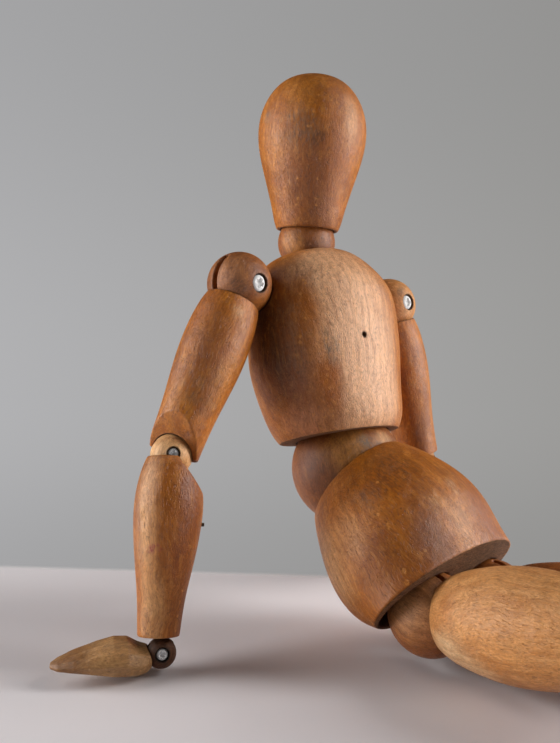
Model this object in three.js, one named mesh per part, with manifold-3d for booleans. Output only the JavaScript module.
// Jointed wooden artist mannequin, about 320 mm tall when standing, in a reclining sitting pose.
// Units are millimetres, +Z is up, the figure faces -Y and its left side is +X.
// The floor is Z = 0 and the origin is the middle of the figure's box, on the floor.
// Turned balls sit in sockets; springs through the bores hook on to pins and screws.
import * as THREE from 'three';
import { mergeVertices } from 'three/addons/utils/BufferGeometryUtils.js';
import Module from 'manifold-3d';

const wasm = await Module();
wasm.setup();

const v = (x, y, z) => new THREE.Vector3(x, y, z);
const onZ = (z) => v(0, 0, z);
const ZERO = v(0, 0, 0);
const X_AXIS = v(1, 0, 0);
const Y_AXIS = v(0, 1, 0);
const Z_AXIS = v(0, 0, 1);

// ---------------------------------------------------------------- materials
const WOOD = { color: 0x9a6236, roughness: 0.45, metalness: 0 };
const DARK_WOOD = { color: 0x6d4426, roughness: 0.5, metalness: 0 };
const PALE_WOOD = { color: 0xb88a5c, roughness: 0.5, metalness: 0 };
const GREY_WOOD = { color: 0x8f7350, roughness: 0.55, metalness: 0 };
const NICKEL = { color: 0xc9c5bd, roughness: 0.25, metalness: 1 };
const DULL_STEEL = { color: 0x6e675f, roughness: 0.45, metalness: 1 };
const SPRING_STEEL = { color: 0x8b8984, roughness: 0.35, metalness: 1 };

// ---------------------------------------------------------------- driving dimensions
// Screws: shank radius, head radius, head height, radius of the wire hook around the shank
const BIG_SCREW = { shank: 0.9, head: 2.0, tall: 1.0, hook: 1.75, look: NICKEL };
const SMALL_SCREW = { shank: 0.6, head: 1.2, tall: 0.7, hook: 1.35, look: DULL_STEEL };

// Turned balls, with their mesh divisions around and from pole to pole
const NECK = { radius: 7.9, segments: 14, rows: 7 };
const WAIST = { radius: 14.5, segments: 18, rows: 9 };
const WAIST_SOCKET = { ...WAIST, segments: 16, rows: 8 };
const SHOULDER = { radius: 8.0, segments: 14, rows: 7, screw: BIG_SCREW, look: WOOD };
const ELBOW = { radius: 4.9, segments: 12, rows: 6, screw: SMALL_SCREW, look: PALE_WOOD };
const WRIST = { radius: 3.3, segments: 10, rows: 6, screw: SMALL_SCREW, look: DARK_WOOD };
const HIP = { radius: 9.2, segments: 14, rows: 7, screw: BIG_SCREW, look: WOOD };
const KNEE = { radius: 6.4, segments: 12, rows: 6, screw: BIG_SCREW, look: WOOD };
const ANKLE = { radius: 4.2, segments: 10, rows: 6, screw: SMALL_SCREW, look: DARK_WOOD };

const RUN = 0.1;              // least air gap between a ball and its socket
const SLOT = 1.7;             // width of the saw slot across a ball
const SLOT_GAP = 0.35;        // from the spring hook to the bottom of the slot
const BALL_BORE = 1.15;       // bore of a screwed ball, radius
const SHANK_GAP = 0.16;
const HEAD_GAP = 0.25;        // around a screw head, and from it to the ball's surface
const BORE = 2.3;             // bore of the limbs, radius
const TORSO_BORE = BORE + 0.5;
const NECK_BORE = 2.0;
const FLAT = 0.45;            // from a limb's end face to the centre of an elbow or knee ball
const CHAMFER = THREE.MathUtils.degToRad(52);   // slope of the clearance cut at elbow or knee

const WIRE = 0.28;            // spring wire, square section, from its centre to a corner
const COIL = 1.45;            // usual mean radius of a coil
const HOOK_SHIFT = 0.42;      // how far a hook sits along its screw, off the limb's centre line
const HOOK_NECK = 1.2;        // from a hook to the start of the straight run
const COIL_LEAD = 0.9;        // from a coil to the end of the straight run
const COIL_STEPS = 5;         // points per turn

const CHEST_PIN = { hole: 0.62, radius: 0.5, z: -16 };
const HEAD_PIN = { hole: 0.62, radius: 0.5, z: 19 };
const PELVIS_PIN = { hole: 0.75, radius: 0.6, z: -19, halfLength: 19.5 };
const FOREARM_PIN = { hole: 0.55, radius: 0.42, z: -15.4 };

// ---------------------------------------------------------------- pose
// Joint centres are written from the floor point straight below the waist,
// and BOX_MIDDLE is the middle of the figure's box from there.
const BOX_MIDDLE = v(-3.535, -56.28, 0.05);
const at = (x, y, z) => v(x, y, z).sub(BOX_MIDDLE);
const CENTRES = {
  waist: at(0, 0, 39.9),
  neck: at(-0.3, 15.6, 100.7),
  chest: at(-0.5, 9.6, 85.4),
  shoulder: { right: at(-27.9, 9.6, 86.4), left: at(26.9, 9.6, 84.4) },
  elbow: { right: at(-47.2, 9.7, 45.9), left: at(35.9, 6.0, 40.0) },
  wrist: { right: at(-53.6, 3.4, 4.35), left: at(49.9, 23.9, 4.35) },
  hip: { right: at(-8.4, -33.3, 12.5), left: at(15.0, -33.3, 10.9) },
  knee: { right: at(-7.2, -86.5, 20.5), left: at(18.4, -87.2, 13.6) },
  ankle: { right: at(-7.2, -138.3, 7.45), left: at(21.4, -138.6, 7.8) },
};
const HAND_DIR = {
  right: v(-20.6, 9.5, 0.2).normalize(),
  left: v(17.0, 15.0, 0.2).normalize(),
};
const TOE_DIR = {
  right: v(-0.08, -0.24, 0.97).normalize(),
  left: v(0.14, -0.3, 0.95).normalize(),
};
const SHOULDER_SCREW_DIR = { right: v(0.072, -0.99, -0.037), left: v(0.047, -0.99, 0.02) };
const SIDE_SIGN = { right: -1, left: 1 };

const PELVIS_UP = v(-0.06, 0.7645, 0.643).normalize();
const CHEST_UP = v(0.012, 0.254, 0.967);
const CHEST_LEFT = v(1, 0, -0.03);
const HEAD_UP = v(0, -0.08, 1);

// ---------------------------------------------------------------- frames and directions
// Frame with Z along `up` and X as near to `side` as it can be
function frame(origin, up, side) {
  const z = up.clone().normalize();
  const x = side.clone().addScaledVector(z, -side.dot(z)).normalize();
  return new THREE.Matrix4().makeBasis(x, z.clone().cross(x), z).setPosition(origin);
}
const pointIn = (matrix, point) => point.clone().applyMatrix4(matrix.clone().invert());
const dirIn = (matrix, dir) => dir.clone().transformDirection(matrix.clone().invert());
const scaled = (dir, distance) => dir.clone().multiplyScalar(distance);
const direction = (from, to) => to.clone().sub(from).normalize();

// A world direction in a frame, laid flat in the frame's XY plane
function across(matrix, dir) {
  const local = dirIn(matrix, dir);
  local.z = 0;
  return local.normalize();
}
// Axis square to two directions, turned so that it points the same way as `facing`
function hingeAxis(first, second, facing) {
  const axis = first.clone().cross(second).normalize();
  return axis.dot(facing) < 0 ? axis.negate() : axis;
}

const pelvisFrame = frame(CENTRES.waist, PELVIS_UP, X_AXIS);
const waistFrame = frame(CENTRES.waist, CHEST_UP, CHEST_LEFT);
const chestFrame = frame(CENTRES.chest, CHEST_UP, CHEST_LEFT);
const neckFrame = frame(CENTRES.neck, CHEST_UP, CHEST_LEFT);
const headFrame = frame(CENTRES.neck, HEAD_UP, X_AXIS);

// ---------------------------------------------------------------- solids
function solid(source, matrix) {
  let geometry = source.index ? source.toNonIndexed() : source.clone();
  geometry.deleteAttribute('normal');
  geometry.deleteAttribute('uv');
  if (matrix) geometry.applyMatrix4(matrix);
  geometry = mergeVertices(geometry, 1e-4);
  const index = geometry.index.array;
  const triangles = [];
  for (let i = 0; i < index.length; i += 3) {
    const [a, b, c] = [index[i], index[i + 1], index[i + 2]];
    if (a !== b && b !== c && a !== c) triangles.push(a, b, c);
  }
  return new wasm.Manifold(new wasm.Mesh({
    numProp: 3,
    vertProperties: new Float32Array(geometry.attributes.position.array),
    triVerts: new Uint32Array(triangles),
  }));
}
function toGeometry(manifold) {
  const mesh = manifold.getMesh();
  const positions = new Float32Array(mesh.vertProperties);
  const geometry = new THREE.BufferGeometry();
  geometry.setAttribute('position', new THREE.BufferAttribute(positions, 3));
  geometry.setIndex(new THREE.BufferAttribute(new Uint32Array(mesh.triVerts), 1));
  geometry.computeVertexNormals();
  return geometry;
}
const cut = (base, ...tools) => tools.reduce((rest, tool) => rest.subtract(tool), base);

// Sphere with its poles on Z
function ball({ radius, segments, rows }, centre = ZERO) {
  const geometry = new THREE.SphereGeometry(radius, segments, rows).rotateX(Math.PI / 2);
  return solid(geometry.translate(centre.x, centre.y, centre.z));
}
// Clearance sphere that a faceted ball can turn in
function socket({ radius, segments, rows }, centre = ZERO) {
  const facet = Math.cos(Math.PI / segments) * Math.cos(Math.PI / 2 / rows);
  return ball({ radius: radius / facet + RUN, segments, rows }, centre);
}
// Cylinder between two points
function rod(radius, start, end, segments = 8) {
  const span = end.clone().sub(start);
  const turn = new THREE.Quaternion().setFromUnitVectors(Y_AXIS, span.clone().normalize());
  const middle = start.clone().add(end).multiplyScalar(0.5);
  return solid(
    new THREE.CylinderGeometry(radius, radius, span.length(), segments),
    new THREE.Matrix4().compose(middle, turn, v(1, 1, 1)),
  );
}
const block = (sizeX, sizeY, sizeZ, x, z) =>
  solid(new THREE.BoxGeometry(sizeX, sizeY, sizeZ).translate(x, 0, z));

// Half space starting at a point and facing along a normal, as a large block
function halfSpace(point, normal) {
  const size = 60;
  const unit = normal.clone().normalize();
  const turn = new THREE.Quaternion().setFromUnitVectors(Z_AXIS, unit);
  const middle = point.clone().addScaledVector(unit, size / 2);
  return solid(
    new THREE.BoxGeometry(size, size, size),
    new THREE.Matrix4().compose(middle, turn, v(1, 1, 1)),
  );
}
// Body through rings listed from the top down:
// [z, half width, half depth (as the width), centre x (0), centre y (0), roundness (2 = ellipse)]
function loft(rings, segments) {
  const bend = (value, roundness) => (Math.abs(value) < 1e-6
    ? 0
    : Math.sign(value) * Math.pow(Math.abs(value), 2 / roundness));
  const geometry = new THREE.CylinderGeometry(1, 1, 1, segments, rings.length - 1);
  const points = geometry.attributes.position;
  for (let i = 0; i < points.count; i++) {
    const row = Math.round((0.5 - points.getY(i)) * (rings.length - 1));
    const [z, width, depth = width, centreX = 0, centreY = 0, roundness = 2] = rings[row];
    const x = centreX + width * bend(points.getX(i), roundness);
    const y = centreY + depth * bend(-points.getZ(i), roundness);
    points.setXYZ(i, x, y, z);
  }
  return solid(geometry);
}

// ---------------------------------------------------------------- groups and meshes
const group = new THREE.Group();
group.userData.world = new THREE.Matrix4();

// Child group whose frame is given in world space
function body(parent, world) {
  const child = new THREE.Group();
  const local = parent.userData.world.clone().invert().multiply(world);
  local.decompose(child.position, child.quaternion, child.scale);
  child.userData.world = world;
  parent.add(child);
  return child;
}
function place(parent, name, manifold, look) {
  const mesh = new THREE.Mesh(toGeometry(manifold), new THREE.MeshStandardMaterial(look));
  mesh.name = name;
  parent.add(mesh);
}

// ---------------------------------------------------------------- balls on screws
// X position of the seat under a screw head
function headSeat(radius, screw) {
  return Math.sqrt(radius ** 2 - (screw.head + HEAD_GAP) ** 2) - HEAD_GAP - screw.tall;
}
// The screw runs along X with its head at +X, and the slot opens towards -Z
function screwBall(joint, boreDir) {
  const { radius, screw } = joint;
  const outside = radius + 1;
  const slotTop = screw.hook + WIRE + SLOT_GAP;
  const slotMiddle = (slotTop - outside) / 2;
  return cut(
    ball(joint),
    block(SLOT, 2 * outside, outside + slotTop, 0, slotMiddle),
    rod(BALL_BORE, scaled(boreDir, 0.3), scaled(boreDir, outside), 6),
    rod(screw.shank + SHANK_GAP, v(-0.8 * radius, 0, 0), v(outside, 0, 0), 6),
    rod(screw.head + HEAD_GAP, v(headSeat(radius, screw), 0, 0), v(outside, 0, 0)),
  );
}
// Pointed screw along X with a cross recess in its head
function crossScrew({ radius, screw: { shank, head, tall, ...screw } }) {
  const seat = headSeat(radius, { shank, head, tall, ...screw }) + 0.03;
  const tip = -0.8 * radius + 0.2;
  const end = seat + tall;
  // [radius, position along the screw]
  const outline = [
    [0, tip], [shank, tip + shank * 0.7], [shank, seat],
    [head, seat], [head, seat + 0.5 * tall], [0, end],
  ].map(([x, y]) => new THREE.Vector2(x, y));
  const width = 0.3 * head;
  const length = 1.25 * head;
  const depth = 0.62 * tall;
  return cut(
    solid(new THREE.LatheGeometry(outline, 8).rotateZ(-Math.PI / 2)),
    block(2 * depth, width, length, end, 0),
    block(2 * depth, length, width, end, 0),
  );
}
function screwJoint(parent, name, side, joint, world, boreDir = Z_AXIS) {
  const child = body(parent, world);
  place(child, `${name}_ball_${side}`, screwBall(joint, boreDir), joint.look);
  place(child, `${name}_screw_${side}`, crossScrew(joint), joint.screw.look);
  return child;
}

// ---------------------------------------------------------------- springs
// Points of an open hook around a pin: `shift` is how far along the pin the hook sits
function hookPoints({ centre, pinDir, sideways, outward, radius, shift }) {
  const points = [];
  for (let k = 0; k <= 4; k++) {
    const angle = THREE.MathUtils.degToRad(150 - k * 75);
    points.push(centre.clone()
      .addScaledVector(pinDir, shift)
      .addScaledVector(sideways, radius * Math.sin(angle))
      .addScaledVector(outward, radius * Math.cos(angle)));
  }
  return points;
}
// Points of a coil that narrows towards both ends, down to `endPart` of its radius
function coilPoints({ start, end, firstDir, secondDir, radius, coils, endPart }) {
  const points = [];
  const steps = coils * COIL_STEPS;
  for (let k = 0; k <= steps; k++) {
    const t = k / steps;
    const angle = t * coils * 2 * Math.PI;
    const reach = radius * Math.min(1, endPart + 4 * Math.min(t, 1 - t) * coils / 3);
    points.push(start.clone().lerp(end, t)
      .addScaledVector(firstDir, reach * Math.cos(angle))
      .addScaledVector(secondDir, reach * Math.sin(angle)));
  }
  return points;
}
function wireThrough(points) {
  const section = new THREE.Shape([
    new THREE.Vector2(WIRE, 0), new THREE.Vector2(0, WIRE),
    new THREE.Vector2(-WIRE, 0), new THREE.Vector2(0, -WIRE),
  ]);
  return solid(new THREE.ExtrudeGeometry(section, {
    steps: points.length,
    bevelEnabled: false,
    extrudePath: new THREE.CatmullRomCurve3(points, false, 'centripetal'),
  }));
}
// Straight spring on Z. The top hook goes around a pin at the origin, the bottom hook around
// one at z = -length; pin directions lie in the XY plane.
function spring({
  length, topHook, bottomHook, topPin = X_AXIS, bottomPin,
  topShift = HOOK_SHIFT, bottomShift = -HOOK_SHIFT,
  coilTop, coilBottom, coils = 4, coilRadius = COIL,
}) {
  return wireThrough([
    ...hookPoints({
      centre: ZERO, pinDir: topPin, sideways: Z_AXIS.clone().cross(topPin),
      outward: Z_AXIS, radius: topHook, shift: topShift,
    }),
    onZ(-topHook - HOOK_NECK),
    onZ(coilTop + COIL_LEAD),
    ...coilPoints({
      start: onZ(coilTop), end: onZ(coilBottom), firstDir: X_AXIS, secondDir: Y_AXIS,
      radius: coilRadius, coils, endPart: 0.35,
    }),
    onZ(coilBottom - COIL_LEAD),
    onZ(-length + bottomHook + HOOK_NECK),
    ...hookPoints({
      centre: onZ(-length), pinDir: bottomPin, sideways: Z_AXIS.clone().cross(bottomPin),
      outward: onZ(-1), radius: bottomHook, shift: bottomShift,
    }).reverse(),
  ]);
}
// Spring from one pin to another with a kink at the centre of the ball between them.
// Each run has a coil, given by its two distances from the ball's centre.
function centreSpring({
  topPin, topAxis, bottomPin, bottomAxis, kink, upperCoil, lowerCoil, detour = [],
}) {
  const upper = direction(kink, topPin);
  const lower = direction(kink, bottomPin);
  const onUpper = (distance) => kink.clone().addScaledVector(upper, distance);
  const onLower = (distance) => kink.clone().addScaledVector(lower, distance);
  const hook = (centre, pinDir, outward, shift) => hookPoints({
    centre, pinDir, sideways: outward.clone().cross(pinDir).normalize(), outward,
    radius: 1.3, shift,
  });
  const coil = (start, end) => {
    const along = direction(start, end);
    const firstDir = along.clone().cross(v(0.3, 0.2, 1)).normalize();
    const secondDir = along.clone().cross(firstDir);
    return coilPoints({
      start, end, firstDir, secondDir, radius: 1.25, coils: 3, endPart: 0.3,
    });
  };
  return wireThrough([
    ...hook(topPin, topAxis, upper, 0.36),
    onUpper(upperCoil[0] + 1),
    ...coil(onUpper(upperCoil[0]), onUpper(upperCoil[1])),
    onUpper(upperCoil[1] - 1),
    kink.clone(),
    onLower(lowerCoil[0] - 1),
    ...coil(onLower(lowerCoil[0]), onLower(lowerCoil[1])),
    onLower(lowerCoil[1] + 1),
    ...detour,
    ...hook(bottomPin, bottomAxis, lower, -0.36).reverse(),
  ]);
}

// ---------------------------------------------------------------- pelvis
// [z, half width, half depth, centre x, centre y]
const PELVIS_RINGS = [
  [-2.5, 12.39, 13.86, 1.25, 1.01], [-5, 14.38, 14.67, 0.84, 0.32],
  [-9, 17.12, 16.01, 0.4, -0.4], [-15, 20.46, 17.6, 0, -0.99],
  [-22, 22.89, 19.06, -0.33, -0.95], [-29, 23.81, 18.73, -0.72, -0.69],
  [-35, 23.7, 16.31, -1.0, -0.91], [-38.6, 23.74, 13.83, -1.27, -2.0],
];
function buildPelvis() {
  const pelvis = body(group, pelvisFrame);
  const leftHip = pointIn(pelvisFrame, CENTRES.hip.left);
  const rightHip = pointIn(pelvisFrame, CENTRES.hip.right);
  const middle = (leftHip.x + rightHip.x) / 2;
  const { hole, radius, z, halfLength } = PELVIS_PIN;
  let shape = cut(
    loft(PELVIS_RINGS, 20),
    halfSpace(onZ(-6.3), v(0, 0.09, 1)),
    socket(WAIST_SOCKET),
    rod(BORE + 0.6, onZ(-10), onZ(z + 1.6)),
    rod(BORE + 0.2, onZ(z + 3), onZ(z - 1.8)),
    rod(hole, v(middle - halfLength - 0.3, 0, z), v(40, 0, z)),
  );
  for (const hip of [leftHip, rightHip]) {
    shape = cut(shape, socket(HIP, hip), rod(BORE, hip, v(hip.x, 0, z + 2.6)));
  }
  // the right hip's recess is wider on its outer side
  const widening = rightHip.clone().add(v(-2.9, 0.9, 0.4));
  shape = cut(shape, ball({ ...HIP, radius: HIP.radius - 0.4 }, widening));
  place(pelvis, 'pelvis', shape, WOOD);
  const pin = rod(radius, v(middle - halfLength, 0, z), v(middle + halfLength, 0, z));
  place(pelvis, 'pelvis_pin', pin, DULL_STEEL);
  return pelvis;
}

// ---------------------------------------------------------------- waist ball
function buildWaist(pelvis) {
  const waist = body(pelvis, waistFrame);
  const down = dirIn(waistFrame, PELVIS_UP).negate();
  const outside = WAIST.radius + 2;
  place(waist, 'waist_ball', cut(
    ball(WAIST),
    rod(TORSO_BORE, onZ(-1), onZ(outside)),
    rod(TORSO_BORE, ZERO, scaled(down, outside)),
    rod(TORSO_BORE, onZ(-1.2), scaled(down, 2.5)),
  ), DARK_WOOD);
  return waist;
}

// ---------------------------------------------------------------- thorax
// Direction from the middle of the chest out to the pin's hole in front
const CHEST_PIN_DIR = v(-4.2, -17, 0).normalize();
const onChestPin = (distance) => scaled(CHEST_PIN_DIR, distance).add(onZ(CHEST_PIN.z));
const neckInChest = pointIn(chestFrame, CENTRES.neck);
const waistInChest = pointIn(chestFrame, CENTRES.waist);

function buildThorax(waist) {
  const thorax = body(waist, chestFrame);
  const neckY = neckInChest.y;
  const waistY = waistInChest.y;
  const left = pointIn(chestFrame, CENTRES.shoulder.left);
  const right = pointIn(chestFrame, CENTRES.shoulder.right);
  // [z, half width, half depth, centre x, centre y]
  const rings = [
    [10.9, 9.4, 9.0, neckInChest.x, neckY],
    [10.3, 11.4, 10.4, neckInChest.x, neckY * 0.9],
    [8.2, 15.2, 12.6, 0, neckY * 0.7],
    [4.8, 18.6, 14.6, 0, neckY * 0.5],
    [0, 20.9, 16.1, 0, 0],
    [-8, 21.9, 17, -0.2, 0],
    [-18, 21.9, 16.9, -0.9, waistY * 0.2],
    [-29, 20.3, 16.2, -0.8, waistY * 0.6],
    [-37.4, 17.6, 14.7, 0, waistY * 0.9],
    [-38.2, 17.1, 14.2, 0, waistY * 0.9],
  ];
  const { hole, radius, z } = CHEST_PIN;
  place(thorax, 'thorax', cut(
    loft(rings, 20),
    socket(WAIST_SOCKET, waistInChest), socket(NECK, neckInChest),
    socket(SHOULDER, left), socket(SHOULDER, right),
    rod(TORSO_BORE, neckInChest, onZ(z + 3)),
    rod(TORSO_BORE, onZ(z + 5.5), onZ(z - 5.5)),
    rod(TORSO_BORE, onZ(z - 3), waistInChest),
    rod(BORE + 0.2, left, right),
    rod(hole, onChestPin(40), onChestPin(-4.5)),
  ), WOOD);
  place(thorax, 'chest_pin', rod(radius, onChestPin(14.2), onChestPin(-4.2)), DULL_STEEL);
  buildShoulderSpring(thorax, left, right);
  return thorax;
}
// Runs between the two shoulder screws. It is coiled on the left, so that the neck spring
// can pass behind its straight run.
function buildShoulderSpring(thorax, left, right) {
  const span = left.clone().sub(right);
  const world = chestFrame.clone().multiply(frame(left, span, v(0, -1, 0)));
  place(body(thorax, world), 'shoulder_spring', spring({
    length: span.length(),
    topHook: BIG_SCREW.hook, bottomHook: BIG_SCREW.hook,
    topPin: across(world, SHOULDER_SCREW_DIR.left),
    bottomPin: across(world, SHOULDER_SCREW_DIR.right),
    topShift: -HOOK_SHIFT,
    coilTop: -10.5, coilBottom: -22, coils: 5, coilRadius: 1.35,
  }), SPRING_STEEL);
}

// ---------------------------------------------------------------- neck ball and head
// [z, radius]
const HEAD_RINGS = [
  [45.2, 1.6], [44.6, 4.4], [43.1, 8.1], [40.9, 10.7], [37.8, 12.8], [33.6, 14.35], [28.8, 14.8],
  [23.4, 14.1], [18.2, 12.7], [13.4, 11.3], [8.2, 9.9], [4.4, 8.9], [3.4, 8.5],
];
function buildNeck(thorax) {
  const neck = body(thorax, neckFrame);
  const up = dirIn(neckFrame, HEAD_UP);
  const outside = NECK.radius + 2;
  place(neck, 'neck_ball', cut(
    ball(NECK),
    rod(NECK_BORE, onZ(0.6), onZ(-outside)),
    rod(NECK_BORE, scaled(up, -0.8), scaled(up, outside)),
  ), DARK_WOOD);
  return neck;
}
function buildHead(neck) {
  const head = body(neck, headFrame);
  const { hole, radius, z } = HEAD_PIN;
  place(head, 'head', cut(
    loft(HEAD_RINGS, 18),
    socket(NECK),
    rod(BORE, onZ(5), onZ(z + 3.4)),
    rod(hole, v(0, -9.5, z), v(0, 40, z)),
  ), WOOD);
  place(head, 'head_pin', rod(radius, v(0, -9, z), v(0, 11.4, z)), DULL_STEEL);
}

// ---------------------------------------------------------------- neck and waist springs
function buildCentreSprings(thorax) {
  const pointFrom = (world, point) => pointIn(chestFrame, point.clone().applyMatrix4(world));
  const dirFrom = (world, dir) => dirIn(chestFrame, dir.clone().transformDirection(world));
  const chestPoint = onZ(CHEST_PIN.z);
  const chestAxis = CHEST_PIN_DIR.clone().negate();
  place(thorax, 'neck_spring', centreSpring({
    topPin: pointFrom(headFrame, onZ(HEAD_PIN.z)), topAxis: dirFrom(headFrame, Y_AXIS),
    bottomPin: chestPoint, bottomAxis: chestAxis,
    kink: neckInChest, upperCoil: [15.5, 9.4], lowerCoil: [8.9, 13.2],
    detour: [v(0.3, 1.5, 0.4)],      // steps behind the shoulder spring
  }), SPRING_STEEL);
  place(thorax, 'waist_spring', centreSpring({
    topPin: chestPoint, topAxis: chestAxis,
    bottomPin: pointFrom(pelvisFrame, onZ(PELVIS_PIN.z)),
    bottomAxis: dirFrom(pelvisFrame, X_AXIS),
    kink: waistInChest, upperCoil: [25.5, 17.2], lowerCoil: [3.0, 15.6],
  }), SPRING_STEEL);
}

// ---------------------------------------------------------------- limbs
// A limb piece has its upper joint at its local origin and its lower joint at z = -length.

// Cut that lets a limb fold towards `side`. `dirZ` is +1 for a cut above the ball, -1 below it.
function foldCut(centre, side, dirZ) {
  const normal = scaled(side, Math.sin(CHAMFER)).add(onZ(-dirZ * Math.cos(CHAMFER)));
  return halfSpace(centre.clone().add(onZ(dirZ * FLAT)), normal);
}

// Tables for the arm: [z, radius], from the joint down; the last ring of each is added in place
const UPPER_ARM_RINGS = [
  [-3.4, 6.0], [-5.4, 6.8], [-9, 7.6], [-14, 8.05], [-20, 8.05], [-27, 7.45], [-35, 6.6],
  [-41, 6.25],
];
// [z, half width, half depth, shift of the centre towards the outside of the elbow]
const FOREARM_RINGS = [
  [-FLAT, 5.4, 5.4, 0], [-2.5, 6.3, 6.2, 0], [-6, 7.4, 7.1, 0], [-11, 8.0, 7.7, 0],
  [-16, 7.8, 7.5, 0.1], [-23, 6.8, 6.6, 0.3], [-31, 5.5, 5.3, 0.6],
];
// [z, half width, half thickness, centre x, centre y], from the wrist to the fingertips
const HAND_RINGS = [
  [-2.1, 2.9, 2.1, 0, -0.7], [-3.2, 4.2, 2.85, 0, -0.85], [-5.0, 5.1, 3.35, 0, -0.75],
  [-7.2, 5.8, 3.95, 0, -0.05], [-10, 6.1, 3.9, 0, 0.2], [-13.5, 5.7, 3.15, 0, 0.2],
  [-18, 4.4, 2.1, 0, 0], [-21.4, 2.7, 1.2, 0, -0.4], [-22.9, 1.1, 0.5, 0, -0.5],
];

function buildShoulder(thorax, side, axis) {
  const sign = SIDE_SIGN[side];
  // the slot opens down and outwards, turned square to the exact screw axis
  const open = v(sign * 0.68, 0, -0.73);
  const z = open.clone().negate().addScaledVector(axis, open.dot(axis)).normalize();
  const world = new THREE.Matrix4()
    .makeBasis(axis, z.clone().cross(axis), z)
    .setPosition(CENTRES.shoulder[side]);
  const inward = v(-sign, 0, 0).transformDirection(chestFrame);
  return screwJoint(thorax, 'shoulder', side, SHOULDER, world, dirIn(world, inward));
}
function buildUpperArm(shoulder, side, world, length, foldDir, elbowAxis) {
  const upperArm = body(shoulder, world);
  const rings = [...UPPER_ARM_RINGS, [-length + FLAT, 6.15]];
  place(upperArm, `upper_arm_${side}`, cut(
    loft(rings, 12),
    socket(SHOULDER), socket(ELBOW, onZ(-length)),
    rod(BORE, onZ(-5), onZ(-length + 3)),
    foldCut(onZ(-length), across(world, foldDir), 1),
  ), WOOD);
  place(upperArm, `upper_arm_spring_${side}`, spring({
    length, topHook: SHOULDER.screw.hook, bottomHook: ELBOW.screw.hook,
    bottomPin: across(world, elbowAxis), coilTop: -12, coilBottom: -length + 8.5,
  }), SPRING_STEEL);
  return upperArm;
}
function buildForearm(elbow, side, world, length, foldDir, wristAxis) {
  const forearm = body(elbow, world);
  const inner = across(world, foldDir);      // towards the inside of the elbow
  const rings = [...FOREARM_RINGS, [-length + 3.5, 4.6, 4.55, 0.8]]
    .map(([z, width, depth, shift]) => [z, width, depth, -inner.x * shift, -inner.y * shift]);
  const cutStart = scaled(inner, side === 'right' ? 1 : 0);
  const onPin = (distance) => scaled(inner, distance).add(onZ(FOREARM_PIN.z));
  place(forearm, `forearm_${side}`, cut(
    loft(rings, 12),
    socket(ELBOW), socket(WRIST, onZ(-length)),
    rod(BORE - 0.2, onZ(-3), onZ(-length + 2)),
    foldCut(cutStart, inner, -1),
    rod(FOREARM_PIN.hole, onPin(2.0), onPin(14)),
  ), WOOD);
  const pin = rod(FOREARM_PIN.radius, onPin(2.3), onPin(8.15));
  place(forearm, `forearm_pin_${side}`, pin, DULL_STEEL);
  place(forearm, `forearm_spring_${side}`, spring({
    length, topHook: ELBOW.screw.hook, bottomHook: WRIST.screw.hook,
    bottomPin: across(world, wristAxis),
    coilTop: -9, coilBottom: -length + 7, coilRadius: 1.3,
  }), SPRING_STEEL);
  return forearm;
}
// Mitten shape, palm down
function buildHand(wrist, side, world) {
  const turn = new THREE.Quaternion().setFromUnitVectors(Y_AXIS, across(world, Z_AXIS));
  const matrix = new THREE.Matrix4().makeRotationFromQuaternion(turn);
  const shape = loft(HAND_RINGS, 10).transform(Array.from(matrix.elements));
  place(body(wrist, world), `hand_${side}`, cut(shape, socket(WRIST)), GREY_WOOD);
}
function buildArm(thorax, side) {
  const shoulderAt = CENTRES.shoulder[side];
  const elbowAt = CENTRES.elbow[side];
  const wristAt = CENTRES.wrist[side];
  const upperDir = direction(shoulderAt, elbowAt);
  const foreDir = direction(elbowAt, wristAt);
  const handDir = HAND_DIR[side];
  const upperBack = upperDir.clone().negate();
  const foreBack = foreDir.clone().negate();

  // the elbow and wrist screw heads face the front
  const front = v(0, -1, 0);
  const screwDir = SHOULDER_SCREW_DIR[side];
  const shoulderAxis = screwDir.clone()
    .addScaledVector(upperDir, -screwDir.dot(upperDir)).normalize();
  const elbowAxis = hingeAxis(upperDir, foreDir, front);
  const wristAxis = hingeAxis(foreDir, handDir, front);
  const upperFold = side === 'right' ? v(-0.83, -0.52, 0) : foreDir.clone().sub(upperDir);

  const shoulder = buildShoulder(thorax, side, shoulderAxis);
  const upperArm = buildUpperArm(shoulder, side, frame(shoulderAt, upperBack, shoulderAxis),
    elbowAt.distanceTo(shoulderAt), upperFold, elbowAxis);
  const elbow = screwJoint(upperArm, 'elbow', side, ELBOW, frame(elbowAt, upperBack, elbowAxis));
  const forearm = buildForearm(elbow, side, frame(elbowAt, foreBack, elbowAxis),
    wristAt.distanceTo(elbowAt), upperBack, wristAxis);
  const wrist = screwJoint(forearm, 'wrist', side, WRIST, frame(wristAt, foreBack, wristAxis));
  buildHand(wrist, side, frame(wristAt, handDir.clone().negate(), wristAxis));
}

// Tables for the leg: [z, radius], from the joint down; the last ring of each is added in place
const THIGH_RINGS = [
  [-4.2, 6.8], [-6, 7.9], [-9, 9.2], [-13, 10.2], [-19, 11.05], [-27, 10.95], [-37, 9.4],
  [-46, 8.1],
];
const SHIN_RINGS = [
  [-FLAT, 6.9], [-3, 7.6], [-8, 8.4], [-15, 8.7], [-23, 8.0], [-33, 6.6], [-42, 5.6],
];
// [z, half width, half thickness], from the heel to the toes
const FOOT_RINGS = [
  [5.9, 3.2, 2.6], [5.0, 4.4, 3.4], [1.5, 5.2, 4.1], [-3, 5.4, 4.6], [-8, 5.7, 4.2],
  [-14, 6.2, 3.3], [-19, 5.9, 2.5], [-22.5, 4.4, 1.9], [-24, 2.4, 1.2],
];
const FOOT_ROUNDNESS = 2.4;
const SOLE = 7.6;             // from the ankle's centre to the sole before it is cut flat
const SOLE_CUT = 0.6;
const WORLD_DOWN = v(0, 0, -1);

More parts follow.
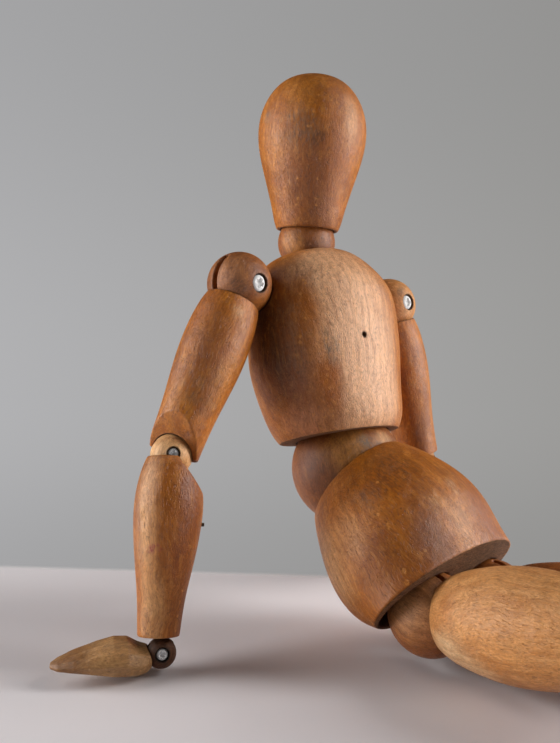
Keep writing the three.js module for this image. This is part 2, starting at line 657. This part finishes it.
// From the pelvis pin to the hip screw
function buildHipSpring(pelvis, side, hipAxis) {
  const hip = pointIn(pelvisFrame, CENTRES.hip[side]);
  const top = v(hip.x, 0, PELVIS_PIN.z);
  const span = top.clone().sub(hip);
  const length = span.length();
  const world = pelvisFrame.clone().multiply(frame(top, span, X_AXIS));
  place(body(pelvis, world), `hip_spring_${side}`, spring({
    length, topHook: 1.35, bottomHook: HIP.screw.hook,
    bottomPin: across(world, hipAxis), topShift: 0,
    coilTop: -3.6, coilBottom: -length + 11.6, coils: 3, coilRadius: 1.35,
  }), SPRING_STEEL);
}
function buildThigh(hip, side, world, length, kneeAxis) {
  const thigh = body(hip, world);
  const rings = [...THIGH_RINGS, [-length + FLAT, 7.6]];
  place(thigh, `thigh_${side}`, cut(
    loft(rings, 14),
    socket(HIP), socket(KNEE, onZ(-length)),
    rod(BORE + 0.2, onZ(-6), onZ(-length + 3)),
    foldCut(onZ(-length), across(world, WORLD_DOWN), 1),
  ), PALE_WOOD);
  place(thigh, `thigh_spring_${side}`, spring({
    length, topHook: HIP.screw.hook, bottomHook: KNEE.screw.hook,
    bottomPin: across(world, kneeAxis), coilTop: -13.5, coilBottom: -length + 10.5,
  }), SPRING_STEEL);
  return thigh;
}
function buildShin(knee, side, world, length, ankleAxis) {
  const shin = body(knee, world);
  const rings = [...SHIN_RINGS, [-length + 3.2, 5.2]];
  place(shin, `shin_${side}`, cut(
    loft(rings, 12),
    socket(KNEE), socket(ANKLE, onZ(-length)),
    rod(BORE, onZ(-4), onZ(-length + 3)),
    foldCut(ZERO, across(world, WORLD_DOWN), -1),
  ), WOOD);
  place(shin, `shin_spring_${side}`, spring({
    length, topHook: KNEE.screw.hook, bottomHook: ANKLE.screw.hook,
    bottomPin: across(world, ankleAxis), coilTop: -10.5, coilBottom: -length + 8,
  }), SPRING_STEEL);
  return shin;
}
// Wedge with a flat sole. The sole lies towards local +Y or -Y, whichever is nearer the shin's
// direction `shinDir`.
function buildFoot(ankle, side, world, shinDir) {
  const toeDir = TOE_DIR[side];
  const soleDir = shinDir.clone().addScaledVector(toeDir, -shinDir.dot(toeDir)).normalize();
  const soleSign = Math.sign(dirIn(world, soleDir).y);
  const rings = FOOT_RINGS.map(([z, width, depth]) => {
    const lift = z > 4 ? 0.9 : 0.2;          // the heel's end is raised more
    return [z, width, depth, 0, soleSign * (SOLE - depth - lift), FOOT_ROUNDNESS];
  });
  place(body(ankle, world), `foot_${side}`, cut(
    loft(rings, 12),
    socket(ANKLE),
    halfSpace(v(0, soleSign * (SOLE - SOLE_CUT), 0), v(0, soleSign, 0)),
  ), WOOD);
}
function buildLeg(pelvis, side) {
  const hipAt = CENTRES.hip[side];
  const kneeAt = CENTRES.knee[side];
  const ankleAt = CENTRES.ankle[side];
  const thighDir = direction(hipAt, kneeAt);
  const shinDir = direction(kneeAt, ankleAt);
  const toeDir = TOE_DIR[side];
  const thighBack = thighDir.clone().negate();
  const shinBack = shinDir.clone().negate();

  // hip screw heads face the other leg, knee and ankle screw heads face outwards
  const outward = v(SIDE_SIGN[side], 0, 0);
  const pelvisDown = PELVIS_UP.clone().negate();
  const hipAxis = hingeAxis(pelvisDown, thighDir, outward.clone().negate());
  const kneeAxis = hingeAxis(thighDir, shinDir, outward);
  const ankleAxis = hingeAxis(shinDir, toeDir, outward);

  // the hip ball's slot opens halfway between the pelvis's downward direction and the thigh
  const hipWorld = frame(hipAt, pelvisDown.clone().add(thighDir).negate(), hipAxis);
  const hip = screwJoint(pelvis, 'hip', side, HIP, hipWorld, dirIn(hipWorld, PELVIS_UP));
  buildHipSpring(pelvis, side, hipAxis);
  const thigh = buildThigh(hip, side, frame(hipAt, thighBack, hipAxis),
    kneeAt.distanceTo(hipAt), kneeAxis);
  const knee = screwJoint(thigh, 'knee', side, KNEE, frame(kneeAt, thighBack, kneeAxis));
  const shin = buildShin(knee, side, frame(kneeAt, shinBack, kneeAxis),
    ankleAt.distanceTo(kneeAt), ankleAxis);
  const ankle = screwJoint(shin, 'ankle', side, ANKLE, frame(ankleAt, shinBack, ankleAxis));
  buildFoot(ankle, side, frame(ankleAt, toeDir.clone().negate(), ankleAxis), shinDir);
}

// ---------------------------------------------------------------- assembly
const pelvis = buildPelvis();
const thorax = buildThorax(buildWaist(pelvis));
buildHead(buildNeck(thorax));
buildCentreSprings(thorax);
for (const side of ['right', 'left']) buildArm(thorax, side);
for (const side of ['right', 'left']) buildLeg(pelvis, side);

export default group;
